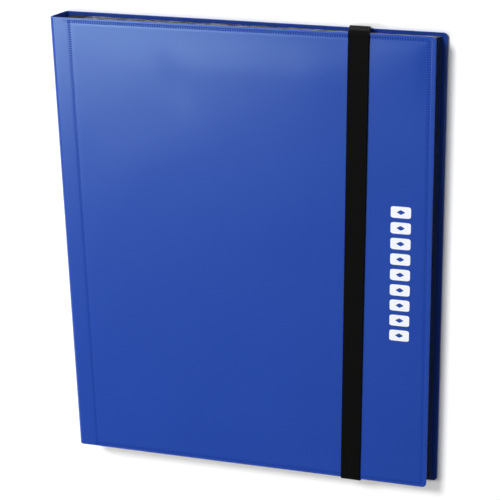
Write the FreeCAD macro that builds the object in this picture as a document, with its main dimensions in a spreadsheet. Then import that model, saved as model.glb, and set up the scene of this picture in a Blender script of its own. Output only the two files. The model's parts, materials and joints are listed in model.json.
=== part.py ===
"""Card binder with side-loading pocket pages, soft covers on living hinges and an elastic strap.

A parametric FreeCAD document, in millimetres. The binder lies closed on its back cover: +X runs from
the spine to the fore-edge, +Y up the page, +Z out of the front cover. The origin is on the table, under
the middle of the closed binder. Every driving size is a cell of the sheet `sizes`.

Two more frames are used. A panel's own frame starts on its fold axis, halfway through its thickness:
X along the panel, Z towards the outside of the binder. The spine's frame counts `along` the spine from
the back fold to the front fold, and `depth` inwards from the middle of the spine's thickness.
"""
import FreeCAD, Part
import math
import os
import Sketcher
from FreeCAD import Placement, Rotation, Vector

SIZES = [
    # covers and spine
    ("cover_width", 251.5, "cover, from its fold axis to the fore-edge"),
    ("cover_height", 312.0, "cover, head to tail"),
    ("corner_radius", 3.0, "rounded fore-edge corners of a cover"),
    ("outer_ply", 0.35, "skin over the board"),
    ("board_ply", 0.5, "stiffening board"),
    ("lining_ply", 0.35, "lining on the inside"),
    ("fold_gap", 0.65, "bare fold between a fold axis and a panel's rounded end"),
    ("lining_start", 2.5, "lining's edge, from a fold axis"),
    ("board_fold", 14.5, "board's edge, from the fold axis"),
    ("board_fore", 6.0, "board's edge, in from the fore-edge"),
    ("board_end", 5.0, "board's edge, in from head and tail"),
    ("spine_board_edge", 3.2, "spine board's edge, from each fold axis"),
    ("board_play", 0.2, "play round a board in its recess"),
    ("spine_width", 18.3, "spine, between its two fold axes"),
    ("spine_lean", 15.86, "degrees that the closed spine leans back"),
    ("fore_rise", 10.6, "between the middles of the two covers at the fore-edge"),
    # pages
    ("leaf_count", 20.0, "number of pages"),
    ("page_inset_fore", 3.5, "page width is this much less than the cover's"),
    ("page_inset_end", 2.2, "page stops short of the cover at head and tail"),
    ("sheet_ply", 0.15, "black sheet in a page"),
    ("film_ply", 0.1, "clear pocket film on each face of a page"),
    ("film_edge", 0.8, "bare sheet at the outer, head and tail edges of a film"),
    ("page_margin", 17.0, "inner pockets' mouth, from the middle of the spine's thickness"),
    ("pocket_columns", 3.0, "strips of film side by side on one face of a page"),
    ("strip_gap", 1.0, "gap between two strips of film, where the next pockets open"),
    ("leaf_air", 0.15, "air between two pages lying flat"),
    ("leaf_clear", 0.1, "air between a page and the cover it lies on"),
    ("leaf_foot", 0.3, "first page's root, along the spine from the back fold"),
    ("leaf_head", 3.0, "last page's root, short of the front fold"),
    ("hinge_depth", 6.0, "depth of the outermost pages' hinges"),
    ("hinge_slot", 0.3, "bare bend on each side of a page's hinge"),
    # binding
    ("block_depth", 5.0, "depth of the welded block of page roots"),
    ("block_inset", 3.0, "block stops short of the pages at head and tail"),
    ("block_foot", 0.2, "block, below the first page's root"),
    ("block_head", 0.3, "block, above the last page's root"),
    ("block_chamfer", 2.6, "height of the block's chamfer beside the back fold"),
    ("block_base", 1.2, "width of the same chamfer on the spine"),
    # strap
    ("strap_width", 13.0, "elastic strap"),
    ("strap_thickness", 1.2, "elastic strap"),
    ("strap_place", 202.0, "strap's middle, along the front cover from its fold"),
    ("strap_air", 0.15, "air between the strap and the covers"),
    ("anchor_length", 16.0, "sewn end of the strap inside the back cover"),
    ("anchor_play", 0.2, "play round that end"),
]

doc = FreeCAD.newDocument("card_binder")
sheet = doc.addObject("Spreadsheet::Sheet", "sizes")
for row, (alias, value, note) in enumerate(SIZES, start=1):
    sheet.set(f"A{row}", note)
    sheet.set(f"B{row}", str(value))
    sheet.setAlias(f"B{row}", alias)
doc.recompute()


def size(alias):
    """A driving size, read from the sheet."""
    return float(sheet.get(alias))


# ---------------------------------------------------------------- expressions and worked-out places
COVER_PLY = "(sizes.outer_ply + sizes.board_ply + sizes.lining_ply)"
LEAF_PLY = "(sizes.sheet_ply + 2 * sizes.film_ply)"
PAGE_HEIGHT = "(sizes.cover_height - 2 * sizes.page_inset_end)"

cover_ply = size("outer_ply") + size("board_ply") + size("lining_ply")
leaf_ply = size("sheet_ply") + 2 * size("film_ply")
leaf_count = int(size("leaf_count"))
lean = math.radians(size("spine_lean"))
rise = size("spine_width") * math.cos(lean)
shift = size("spine_width") * math.sin(lean)
cover_tilt = math.asin((rise - size("fore_rise")) / size("cover_width"))

# The closed binder's box is centred on the origin: the front fold's bead is its low end in X.
fold_x = (shift + cover_ply / 2 - size("cover_width")) / 2
back_axis = Vector(fold_x, 0, cover_ply / 2)
front_axis = back_axis + Vector(-shift, 0, rise)


def turn(degrees):
    """Rotation that lifts +X towards +Z by an angle."""
    return Rotation(Vector(0, 1, 0), -degrees)


SPINE_ANGLE = 90 + size("spine_lean")
back_panel = Placement(back_axis, Rotation(Vector(1, 0, 0), 180))
front_panel = Placement(front_axis, turn(-math.degrees(cover_tilt)))
spine_panel = Placement(back_axis, turn(SPINE_ANGLE))


def on_spine(along, depth):
    """Point on the middle plane Y = 0, from its place in the spine's frame."""
    return spine_panel.multVec(Vector(along, 0, -depth))


# ---------------------------------------------------------------- builders
def bind(thing, **expressions):
    """Bind properties to the sheet. A double underscore stands for a dot in the property's path."""
    for path, expression in expressions.items():
        thing.setExpression(path.replace("__", "."), expression)
    return thing


def box(name, length, width, height, x, z):
    """Box centred on Y = 0, its sizes and place given as expressions."""
    return bind(doc.addObject("Part::Box", name), Length=length, Width=width, Height=height,
                Placement__Base__x=x, Placement__Base__y=f"-({width}) / 2", Placement__Base__z=z)


def rod_y(name, radius, length, x):
    """Cylinder along Y, centred on Y = 0."""
    rod = doc.addObject("Part::Cylinder", name)
    rod.Placement = Placement(Vector(), Rotation(Vector(1, 0, 0), -90))
    return bind(rod, Radius=radius, Height=length, Placement__Base__x=x,
                Placement__Base__y=f"-({length}) / 2")


def combine(kind, name, *shapes):
    """Part::MultiFuse, Part::MultiCommon or Part::Compound of shapes, or a Part::Cut of two."""
    result = doc.addObject(kind, name)
    if kind == "Part::Cut":
        result.Base, result.Tool = shapes
    elif kind == "Part::Compound":
        result.Links = list(shapes)
    else:
        result.Shapes = list(shapes)
    return result


def outline_slab(name):
    """A cover's outline, square at the fold and rounded at the fore-edge, as a thick slab."""
    sketch = doc.addObject("Sketcher::SketchObject", name + "_outline")
    reach, half, radius = size("cover_width"), size("cover_height") / 2, size("corner_radius")
    flat = half - radius
    start = reach - radius
    for geometry in (
            Part.LineSegment(Vector(0, -half), Vector(start, -half)),
            Part.ArcOfCircle(Part.Circle(Vector(start, -flat), Vector(0, 0, 1), radius), -math.pi / 2, 0),
            Part.LineSegment(Vector(reach, -flat), Vector(reach, flat)),
            Part.ArcOfCircle(Part.Circle(Vector(start, flat), Vector(0, 0, 1), radius), 0, math.pi / 2),
            Part.LineSegment(Vector(start, half), Vector(0, half)),
            Part.LineSegment(Vector(0, half), Vector(0, -half))):
        sketch.addGeometry(geometry, False)
    for first in range(4):
        sketch.addConstraint(Sketcher.Constraint("Tangent", first, 2, first + 1, 1))
    sketch.addConstraint(Sketcher.Constraint("Coincident", 4, 2, 5, 1))
    sketch.addConstraint(Sketcher.Constraint("Coincident", 5, 2, 0, 1))
    sketch.addConstraint(Sketcher.Constraint("Horizontal", 0))
    sketch.addConstraint(Sketcher.Constraint("Horizontal", 4))
    sketch.addConstraint(Sketcher.Constraint("Equal", 1, 3))
    sketch.addConstraint(Sketcher.Constraint("PointOnObject", 5, 1, -2))
    sketch.addConstraint(Sketcher.Constraint("Symmetric", 5, 1, 5, 2, -1))
    for label, expression, constraint in (
            ("radius", "sizes.corner_radius", Sketcher.Constraint("Radius", 1, radius)),
            ("reach", "sizes.cover_width", Sketcher.Constraint("DistanceX", -1, 1, 2, 1, reach)),
            ("tall", "sizes.cover_height", Sketcher.Constraint("DistanceY", 5, 2, 5, 1, 2 * half))):
        index = sketch.addConstraint(constraint)
        sketch.renameConstraint(index, label)
        sketch.setExpression("Constraints." + label, expression)
    slab = doc.addObject("Part::Extrusion", name + "_slab")
    slab.Base = sketch
    slab.DirMode = "Normal"
    slab.Solid = True
    slab.Symmetric = True
    return bind(slab, LengthFwd=COVER_PLY)


def panel_plies(name, reach, board_from, board_to, outline=None):
    """Skin, board and lining of one panel, in the panel's own frame.

    The panel is a slab with a rounded end beside each fold. The lining is the slab's inner ply, from a
    little past the fold. The board lies in a recess of the skin, closed by the lining.
    """
    tall = "sizes.cover_height"
    round_from = f"(sizes.fold_gap + {COVER_PLY} / 2)"
    inner_face = f"-{COVER_PLY} / 2"
    ends = [rod_y(name + "_round", f"{COVER_PLY} / 2", tall, round_from)]
    slab_to, lining_to = reach, reach
    if outline is None:
        slab_to = f"({reach} - {round_from})"
        lining_to = f"({reach} - sizes.lining_start)"
        ends.append(rod_y(name + "_far_round", f"{COVER_PLY} / 2", tall, slab_to))
    slab = box(name + "_flat", f"{slab_to} - {round_from}", tall, COVER_PLY, round_from, inner_face)
    whole = combine("Part::MultiFuse", name + "_whole", slab, *ends)
    if outline is not None:
        whole = combine("Part::MultiCommon", name + "_rounded", whole, outline)
    inner = box(name + "_inner", f"{lining_to} - sizes.lining_start", tall, "sizes.lining_ply",
                "sizes.lining_start", inner_face)
    recess = box(name + "_recess", f"{board_to} - {board_from} + 2 * sizes.board_play",
                 "sizes.cover_height - 2 * sizes.board_end + 2 * sizes.board_play", "sizes.board_ply",
                 f"{board_from} - sizes.board_play", f"{inner_face} + sizes.lining_ply")
    board = box(name + "_board_ply", f"{board_to} - {board_from}",
                "sizes.cover_height - 2 * sizes.board_end", "sizes.board_ply",
                board_from, f"{inner_face} + sizes.lining_ply")
    lining = combine("Part::MultiCommon", name + "_lining_ply", whole, inner)
    unlined = combine("Part::Cut", name + "_unlined", whole, inner)
    skin = combine("Part::Cut", name + "_skin_ply", unlined, recess)
    return skin, board, lining


nodes = []


def keep(label, placement, *shapes):
    """Make a named sub-part of shapes from one local frame, placed in the binder's frame."""
    node = combine("Part::Compound", label, *shapes)
    node.Label = label
    node.Placement = placement
    nodes.append(node)


# ---------------------------------------------------------------- covers and spine
def build_front_cover():
    plies = panel_plies("front", "sizes.cover_width", "sizes.board_fold",
                        "(sizes.cover_width - sizes.board_fore)", outline_slab("front"))
    for label, ply in zip(("front_skin", "front_board", "front_lining"), plies):
        keep(label, front_panel, ply)


def build_spine():
    plies = panel_plies("spine", "sizes.spine_width", "sizes.spine_board_edge",
                        "(sizes.spine_width - sizes.spine_board_edge)")
    for label, ply in zip(("spine_skin", "spine_board", "spine_lining"), plies):
        keep(label, spine_panel, ply)


def build_folds():
    """Living hinges: a bead of the covers' own plastic on each fold axis."""
    for label, axis in (("back_fold", back_axis), ("front_fold", front_axis)):
        bead = rod_y(label + "_bead", f"{COVER_PLY} / 2", "sizes.cover_height", "0")
        keep(label, Placement(axis, Rotation()), bead)


# ---------------------------------------------------------------- strap and its sewn ends
# The strap's frame stands on the line where its ends leave the back cover, square to the front cover.
anchor_level = size("outer_ply") + size("board_ply") / 2
strap_up = front_panel.Rotation.multVec(Vector(0, 0, 1))
strap_seat = front_panel.multVec(Vector(size("strap_place"), 0, cover_ply / 2))
strap_height = (strap_seat.z - anchor_level) / strap_up.z
strap_foot = strap_seat - strap_up * strap_height
strap_panel = Placement(strap_foot, front_panel.Rotation)


def build_back_cover():
    """The front cover's twin, with a channel at head and tail for the strap's sewn ends."""
    skin, board, lining = panel_plies("back", "sizes.cover_width", "sizes.board_fold",
                                      "(sizes.cover_width - sizes.board_fore)", outline_slab("back"))
    foot = strap_foot.x - back_axis.x
    channels, anchors = [], []
    for side, sign in (("head", 1), ("tail", -1)):
        for name, width, length, pile in (
                (f"channel_{side}", "sizes.strap_width + 2 * sizes.anchor_play",
                 "sizes.anchor_length + sizes.anchor_play", channels),
                (f"anchor_{side}", "sizes.strap_width", "sizes.anchor_length", anchors)):
            piece = box(name, width, length, "sizes.board_ply", f"{foot} - ({width}) / 2",
                        f"sizes.lining_ply - {COVER_PLY} / 2")
            middle = f"{sign} * (sizes.cover_height - ({length})) / 2"
            pile.append(bind(piece, Placement__Base__y=f"{middle} - ({length}) / 2"))
    channel = combine("Part::MultiFuse", "strap_channels", *channels)
    keep("back_skin", back_panel, combine("Part::Cut", "back_channelled_skin", skin, channel))
    keep("back_board", back_panel, combine("Part::Cut", "back_notched_board", board, channel))
    keep("back_lining", back_panel, lining)
    keep("strap_end_head", back_panel, anchors[1])
    keep("strap_end_tail", back_panel, anchors[0])


def build_strap():
    """One band from the back cover's head, over the front cover, to the back cover's tail."""
    inner = f"(sizes.cover_height + 2 * sizes.strap_air)"
    top = f"({strap_height} + sizes.strap_air)"
    low = "-sizes.board_ply / 2"
    side = "-sizes.strap_width / 2"
    hoop = box("strap_hoop", "sizes.strap_width", f"{inner} + 2 * sizes.strap_thickness",
               f"{top} + sizes.strap_thickness - ({low})", side, low)
    space = box("strap_space", "2 * sizes.strap_width", inner, f"2 * {top}",
                "-sizes.strap_width", f"-{top}")
    keep("strap", strap_panel, combine("Part::Cut", "strap_band", hoop, space))


# ---------------------------------------------------------------- pages and their binding
leaf_pitch = (size("spine_width") - size("leaf_foot") - size("leaf_head")) / (leaf_count - 1)
hinge_step = leaf_ply + size("leaf_air")
page_width = size("cover_width") - size("page_inset_fore")
stack_level = cover_ply + size("leaf_clear") + leaf_ply / 2


class Leaf:
    """Where one page hinges and how it lies in the closed binder; the first page is at the back.

    The hinges stand deepest in the middle of the stack, so that an open half lies flat, page on page.
    """

    def __init__(self, index):
        self.along = size("leaf_foot") + leaf_pitch * index
        self.depth = size("hinge_depth") + hinge_step * min(index, leaf_count - 1 - index)
        self.hinge = on_spine(self.along, self.depth)
        self.reach = page_width - self.depth
        low, high = stack_level, self.under_front_cover()
        tip_level = low + (high - low) * index / (leaf_count - 1)
        self.tilt = math.degrees(math.asin((tip_level - self.hinge.z) / self.reach))
        self.panel = Placement(self.hinge, turn(self.tilt))
        self.name = f"leaf_{index + 1:02d}"

    def under_front_cover(self):
        """Height of a page's middle plane at its fore-edge, if it lay right under the front cover."""
        drop = (self.hinge.x + self.reach - front_axis.x) * math.tan(cover_tilt)
        below = cover_ply / 2 / math.cos(cover_tilt) + size("leaf_clear") + leaf_ply / 2
        return front_axis.z - drop - below


leaves = [Leaf(index) for index in range(leaf_count)]


def build_leaf(leaf):
    """A black sheet with strips of clear film on both faces: a strip is one column of pockets."""
    reach = f"(sizes.cover_width - sizes.page_inset_fore - {leaf.depth})"
    page = box(leaf.name + "_page", f"{reach} - sizes.hinge_slot", PAGE_HEIGHT, "sizes.sheet_ply",
               "sizes.hinge_slot", "-sizes.sheet_ply / 2")
    keep(leaf.name + "_sheet", leaf.panel, page)
    mouth = f"(sizes.page_margin - {leaf.depth})"
    pitch = f"(({reach} - sizes.film_edge + sizes.strip_gap - {mouth}) / sizes.pocket_columns)"
    strips = []
    for face, level in (("front", "sizes.sheet_ply / 2"), ("back", f"-sizes.sheet_ply / 2 - sizes.film_ply")):
        for column in range(int(size("pocket_columns"))):
            strips.append(box(f"{leaf.name}_{face}_film_{column + 1}", f"{pitch} - sizes.strip_gap",
                              f"{PAGE_HEIGHT} - 2 * sizes.film_edge", "sizes.film_ply",
                              f"{mouth} + {column} * {pitch}", level))
    keep(leaf.name + "_pockets", leaf.panel, *strips)


def build_binding():
    """The pages' roots, welded together in one block that is bonded to the spine's lining."""
    low = "(sizes.leaf_foot - sizes.block_foot)"
    high = "(sizes.spine_width - sizes.leaf_head + sizes.block_head)"
    tall = f"({PAGE_HEIGHT} - 2 * sizes.block_inset)"
    block = box("block_body", f"{high} - {low}", tall, "sizes.block_depth - sizes.block_chamfer",
                low, "-sizes.block_depth")
    wedge = doc.addObject("Part::Wedge", "block_foot")
    wedge.Placement = Placement(Vector(), Rotation(Vector(1, 0, 0), -90))
    bind(wedge, Xmin=f"{low} + sizes.block_base", Xmax=high, X2min=low, X2max=high,
         Ymin=f"{COVER_PLY} / 2", Ymax="sizes.block_chamfer",
         Zmin=f"-{tall} / 2", Zmax=f"{tall} / 2", Z2min=f"-{tall} / 2", Z2max=f"{tall} / 2")
    keep("binding_block", spine_panel, combine("Part::MultiFuse", "block_whole", block, wedge))
    roots = [box(leaf.name + "_root", LEAF_PLY, PAGE_HEIGHT,
                 f"{leaf.depth} - sizes.hinge_slot - sizes.block_depth",
                 f"{leaf.along} - {LEAF_PLY} / 2", f"sizes.hinge_slot - {leaf.depth}")
             for leaf in leaves]
    keep("leaf_roots", spine_panel, *roots)


# ---------------------------------------------------------------- the document
build_front_cover()
build_back_cover()
build_spine()
build_folds()
build_strap()
build_binding()
for each_leaf in leaves:
    build_leaf(each_leaf)
doc.recompute()

failed = [thing.Name for thing in doc.Objects if {"Invalid", "Error"} & set(thing.State)]
failed += [node.Label for node in nodes if node.Shape.isNull() or not node.Shape.isValid()]
if failed:
    raise RuntimeError("these objects failed: " + ", ".join(failed))

os.makedirs("parts", exist_ok=True)
for node in nodes:
    node.Shape.exportStep(f"parts/{node.Label}.step")
    print(f"{node.Label}: {len(node.Shape.Solids)} solid(s), {node.Shape.Volume / 1000:.2f} cm3")
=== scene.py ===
# %% [markdown]
# # A card binder with pocket pages, surface by surface
# The binder is welded plastic: two covers and a spine of thin sheet with a board inside, twenty pages
# of black sheet with clear pocket films, and an elastic strap. Nothing in it is a block, so every
# piece here is a thin surface worked out with numpy: a function of two parameters on a grid.
# The CAD frame gives all places and thicknesses. The comments say which real part each piece is.

# %% Load the frame
import json
import math

import bpy
import mathutils
import numpy as np
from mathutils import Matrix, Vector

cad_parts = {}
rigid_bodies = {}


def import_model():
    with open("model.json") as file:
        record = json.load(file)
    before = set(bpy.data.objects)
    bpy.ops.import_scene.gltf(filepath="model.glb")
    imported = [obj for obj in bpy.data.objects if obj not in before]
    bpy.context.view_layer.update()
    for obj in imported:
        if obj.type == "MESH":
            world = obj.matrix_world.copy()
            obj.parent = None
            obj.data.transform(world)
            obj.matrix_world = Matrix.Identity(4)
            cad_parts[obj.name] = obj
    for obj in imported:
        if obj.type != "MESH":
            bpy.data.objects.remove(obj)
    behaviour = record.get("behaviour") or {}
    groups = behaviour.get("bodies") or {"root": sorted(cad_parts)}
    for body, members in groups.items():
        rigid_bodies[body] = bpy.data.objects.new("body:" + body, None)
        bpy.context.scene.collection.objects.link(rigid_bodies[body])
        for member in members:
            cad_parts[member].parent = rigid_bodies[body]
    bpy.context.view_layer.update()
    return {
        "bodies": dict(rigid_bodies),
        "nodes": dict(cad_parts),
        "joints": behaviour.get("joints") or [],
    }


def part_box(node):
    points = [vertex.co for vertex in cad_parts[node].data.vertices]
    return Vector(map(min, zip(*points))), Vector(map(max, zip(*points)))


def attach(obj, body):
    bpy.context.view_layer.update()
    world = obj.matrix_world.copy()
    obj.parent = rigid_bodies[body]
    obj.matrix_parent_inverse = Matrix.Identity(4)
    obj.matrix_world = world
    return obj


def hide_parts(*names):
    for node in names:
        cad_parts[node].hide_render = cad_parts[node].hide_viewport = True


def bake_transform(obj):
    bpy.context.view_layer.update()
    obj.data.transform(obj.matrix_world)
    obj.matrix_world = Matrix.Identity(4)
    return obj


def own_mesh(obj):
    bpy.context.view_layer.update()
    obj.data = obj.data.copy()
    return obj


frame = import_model()
MM = 0.001
print("nodes in the frame:", len(frame["nodes"]))

# %% [markdown]
# ## Reading the binder's own sizes
# A designer never measures the same thing twice. The hinge lines come from the joints, and the
# thicknesses and insets from the boxes of the CAD nodes, so a new CAD size moves everything here too.
# Most of the binder is the same from head to tail, so its shape is a drawing in the plane of X and Z.

# %% Sizes from the joints and boxes
joints = {joint["name"]: joint for joint in frame["joints"]}


def hinge_xz(name):
    """A hinge line's place in the X-Z plane."""
    place = joints[name]["pos_m"]
    return np.array([place[0], place[2]])


def span(node):
    """A node's lowest and highest corners as arrays."""
    return [np.array(corner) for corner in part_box(node)]


def lean_of(node, ply):
    """Angle of a thin flat node below the horizontal: drop over run, less the ply's own thickness."""
    low, high = span(node)
    return -math.atan((high[2] - low[2] - ply) / (high[0] - low[0]))


def heading(angle):
    """Unit vector at an angle from +X towards +Z."""
    return np.array([math.cos(angle), math.sin(angle)])


back_axis, front_axis = hinge_xz("spine_fold"), hinge_xz("front_cover_fold")
spine_width = np.linalg.norm(front_axis - back_axis)
spine_up = (front_axis - back_axis) / spine_width
spine_in = np.array([spine_up[1], -spine_up[0]])
half_ply = back_axis[1]
board_ply = span("back_board")[1][2] - span("back_board")[0][2]
lining_ply = span("back_lining")[1][2] - span("back_lining")[0][2]
cover_reach = span("back_skin")[1][0] - back_axis[0]
half_height = span("back_skin")[1][1]
front_along = heading(lean_of("front_board", board_ply))
print(f"cover {cover_reach / MM:.1f} x {2 * half_height / MM:.1f} mm")
print(f"skin and lining together {2 * half_ply / MM:.2f} mm thick")

# %% [markdown]
# ## From a grid of points to a closed sheet
# Every ply is a slab: an upper grid and a lower grid of points, joined round the rim. One function
# makes the faces for any slab, so the pieces only have to work out where their points are. The signed
# volume tells whether the faces point outwards, and edges sharper than an angle stay crisp.

# %% Mesh helpers
SHARP_EDGE = math.radians(32)


def signed_volume(points, faces):
    """Sum over quads of the volume between each of their two triangles and the origin."""
    a, b, c, d = (points[faces[:, corner]] for corner in range(4))
    return (np.cross(a, b) * c).sum() / 6 + (np.cross(a, c) * d).sum() / 6


def make_piece(name, points, faces, material, uv=None):
    """A mesh object from points (n, 3) and quads (m, 4), its faces turned outwards.

    uv holds one pair a point; it is written for every face corner that uses the point.
    """
    if signed_volume(points, faces) < 0:
        faces = faces[:, ::-1]
    mesh = bpy.data.meshes.new(name)
    mesh.from_pydata(points.tolist(), [], faces.tolist())
    if uv is not None:
        layer = mesh.uv_layers.new(name="along")
        layer.data.foreach_set("uv", uv[faces.ravel()].astype(np.float32).ravel())
    mesh.shade_smooth()
    mesh.set_sharp_from_angle(angle=SHARP_EDGE)
    mesh.materials.append(material)
    piece = bpy.data.objects.new(name, mesh)
    bpy.context.scene.collection.objects.link(piece)
    return piece


def slab_faces(rows, columns):
    """Quads of a closed slab whose upper grid of points comes first and its lower grid second."""
    index = np.arange(rows * columns).reshape(rows, columns)
    a, b, c, d = index[:-1, :-1], index[1:, :-1], index[1:, 1:], index[:-1, 1:]
    upper = np.stack([a, b, c, d], -1).reshape(-1, 4)
    rim = np.concatenate([index[:, 0], index[-1, 1:], index[-2::-1, -1], index[0, -2:0:-1]])
    ahead = np.roll(rim, -1)
    under = rows * columns
    sides = np.stack([ahead, rim, rim + under, ahead + under], -1)
    return np.concatenate([upper, upper[:, ::-1] + under, sides])


def slab(name, upper, lower, material, uv=None):
    """A closed sheet between two grids of points, each (rows, columns, 3)."""
    rows, columns = upper.shape[:2]
    points = np.concatenate([upper.reshape(-1, 3), lower.reshape(-1, 3)])
    if uv is not None:
        uv = np.concatenate([uv.reshape(-1, 2)] * 2)
    return make_piece(name, points, slab_faces(rows, columns), material, uv)


def slabs(name, pairs, material):
    """Several closed sheets in one mesh, from pairs of upper and lower grids."""
    points, faces, count = [], [], 0
    for upper, lower in pairs:
        points += [upper.reshape(-1, 3), lower.reshape(-1, 3)]
        faces.append(slab_faces(*upper.shape[:2]) + count)
        count += 2 * upper[..., 0].size
    return make_piece(name, np.concatenate(points), np.concatenate(faces), material)


def stations(*groups):
    """Grid lines: all groups merged and sorted, without those within 0.01 mm of the one before."""
    lines = np.sort(np.concatenate([np.atleast_1d(group) for group in groups]))
    return lines[np.concatenate([[True], np.diff(lines) > 1e-5])]


def smoothstep(low, high, value):
    """0 below low, 1 above high, and 3t^2 - 2t^3 between them."""
    share = np.clip((value - low) / (high - low), 0, 1)
    return share * share * (3 - 2 * share)


print(f"edges sharper than {math.degrees(SHARP_EDGE):.0f} degrees stay crisp")

# %% [markdown]
# ## A bent line that all sheets follow
# A cover runs into the spine over a rounded fold, and a page runs into its bound root over a gentle
# bend. Both are the same drawing: straight, an arc, straight. The line is a function of one number,
# the distance from the hinge line: negative on the first side, positive on the second. A sheet's face
# is that line moved sideways along its normal, so a ply keeps its thickness round the bend.

# %% The bent line
class BentLine:
    """Straight along `first`, round an arc of a radius, straight along `second`, from a corner.

    The arc's centre is on the corner's bisector, radius / sin(half angle) away. The normal turns
    evenly along the arc, and points away from the inside of the bend.
    """

    def __init__(self, corner, first, second, radius):
        self.corner, self.first, self.second, self.radius = corner, first, second, radius
        half_angle = math.acos(np.clip(first @ second, -1, 1)) / 2
        bisector = (first + second) / np.linalg.norm(first + second)
        self.tangent = radius / math.tan(half_angle)
        self.centre = corner + bisector * radius / math.sin(half_angle)
        self.sweep = math.pi - 2 * half_angle
        self.normals = [self.away(first, second), self.away(second, first)]

    @staticmethod
    def away(along, other):
        """Unit normal of one straight, on the side away from the other straight."""
        side = other - (other @ along) * along
        return -side / np.linalg.norm(side)

    def at(self, distance):
        """Points and normals, each (n, 2), at distances from the corner."""
        share = np.clip((distance + self.tangent) / (2 * self.tangent), 0, 1)[:, None]
        normal = (np.sin((1 - share) * self.sweep) * self.normals[0]
                  + np.sin(share * self.sweep) * self.normals[1]) / math.sin(self.sweep)
        point = self.centre + self.radius * normal
        point = point + np.clip(-distance - self.tangent, 0, None)[:, None] * self.first
        point = point + np.clip(distance - self.tangent, 0, None)[:, None] * self.second
        return point, normal

    def place(self, distance, level, lift):
        """Points of a face: the line at `distance`, moved `lift` along its normal, at Y = `level`.

        The three arrays have one shape, (rows, columns).
        """
        point, normal = self.at(distance.ravel())
        flat = point + normal * lift.reshape(-1, 1)
        return np.stack([flat[:, 0], level.ravel(), flat[:, 1]], -1).reshape(distance.shape + (3,))

    def middle(self, distance):
        """Point on the line halfway up the binder, as a tuple."""
        point = self.at(np.array([distance]))[0][0]
        return (point[0], 0.0, point[1])


FOLD_RADIUS = 2.8 * MM
front_line = BentLine(front_axis, -spine_up, front_along, FOLD_RADIUS)
back_line = BentLine(back_axis, spine_up, heading(0.0), FOLD_RADIUS)
print(f"front fold turns {math.degrees(front_line.sweep):.1f} degrees")

# %% [markdown]
# ## Materials by recipe
# A material is a short list of nodes. Object coordinates keep a grain fixed in the plastic when the
# covers swing, and they need no unwrapping. Each helper adds one thing: a noise, a ramp, a bump.

# %% Material helpers
class Finish:
    """A Principled material and short names for the nodes that feed it."""

    def __init__(self, name, colour, roughness, **sockets):
        self.material = bpy.data.materials.new(name)
        self.material.use_nodes = True
        self.tree = self.material.node_tree
        self.shader = self.tree.nodes["Principled BSDF"]
        self.shader.inputs["Base Color"].default_value = (*colour, 1)
        self.shader.inputs["Roughness"].default_value = roughness
        for socket, value in sockets.items():
            self.shader.inputs[socket.replace("_", " ")].default_value = value
        self.normal = None

    def node(self, kind, inputs=(), **settings):
        """A node with its settings, and its inputs given as numbers or as other nodes' outputs."""
        made = self.tree.nodes.new(kind)
        for setting, value in settings.items():
            setattr(made, setting, value)
        for socket, value in dict(inputs).items():
            if isinstance(value, bpy.types.NodeSocket):
                self.tree.links.new(value, made.inputs[socket])
            else:
                made.inputs[socket].default_value = value
        return made

    def place(self, source="Object"):
        """Where on the piece a point is: Object coordinates, or the piece's own UV."""
        return self.node("ShaderNodeTexCoord").outputs[source]

    def stretched(self, scale, source="Object", turn=(0, 0, 0)):
        """Coordinates scaled and turned, for a pattern longer one way than the other."""
        mapping = {"Vector": self.place(source), "Scale": scale, "Rotation": turn}
        return self.node("ShaderNodeMapping", mapping).outputs["Vector"]

    def noise(self, period, detail=2.0, rough=0.5, vector=None, dimensions="3D"):
        """Cloudy noise whose blobs are about `period` metres across."""
        inputs = {"Vector": vector or self.place(), "Scale": 1 / period, "Detail": detail,
                  "Roughness": rough}
        return self.node("ShaderNodeTexNoise", inputs, noise_dimensions=dimensions).outputs["Fac"]

    def stripes(self, period, vector, direction="X"):
        """Evenly spaced bands along one direction of the coordinates."""
        inputs = {"Vector": vector, "Scale": math.pi / 10 / period}
        return self.node("ShaderNodeTexWave", inputs, bands_direction=direction).outputs["Fac"]

    def between(self, fac, low, high, low_out=0.0, high_out=1.0):
        """A value remapped from one range to another, held inside it."""
        inputs = {"Value": fac, "From Min": low, "From Max": high, "To Min": low_out,
                  "To Max": high_out}
        return self.node("ShaderNodeMapRange", inputs).outputs["Result"]

    def maths(self, operation, first, second):
        """One sum of two values."""
        made = self.node("ShaderNodeMath", operation=operation)
        for socket, value in zip(made.inputs, (first, second)):
            if isinstance(value, bpy.types.NodeSocket):
                self.tree.links.new(value, socket)
            else:
                socket.default_value = value
        return made.outputs[0]

    def mix(self, fac, first, second):
        """Colour between two colours."""
        made = self.node("ShaderNodeMix", data_type="RGBA")
        for socket, value in (("Factor", fac), ("A", first), ("B", second)):
            target = next(each for each in made.inputs if each.name == socket
                          and each.type == ("VALUE" if socket == "Factor" else "RGBA"))
            if isinstance(value, bpy.types.NodeSocket):
                self.tree.links.new(value, target)
            else:
                target.default_value = value if socket == "Factor" else (*value, 1)
        return next(each for each in made.outputs if each.type == "RGBA")

    def colour(self, output):
        """Drive the base colour."""
        self.tree.links.new(output, self.shader.inputs["Base Color"])

    def roughness(self, output):
        """Drive the roughness."""
        self.tree.links.new(output, self.shader.inputs["Roughness"])

    def bump(self, height, depth, strength):
        """Add relief `depth` metres deep; calls stack, coarse or fine."""
        inputs = {"Height": height, "Distance": depth, "Strength": strength}
        if self.normal is not None:
            inputs["Normal"] = self.normal
        self.normal = self.node("ShaderNodeBump", inputs).outputs["Normal"]
        self.tree.links.new(self.normal, self.shader.inputs["Normal"])


print("finish helpers:", *(name for name in vars(Finish) if not name.startswith("_")))

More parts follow.
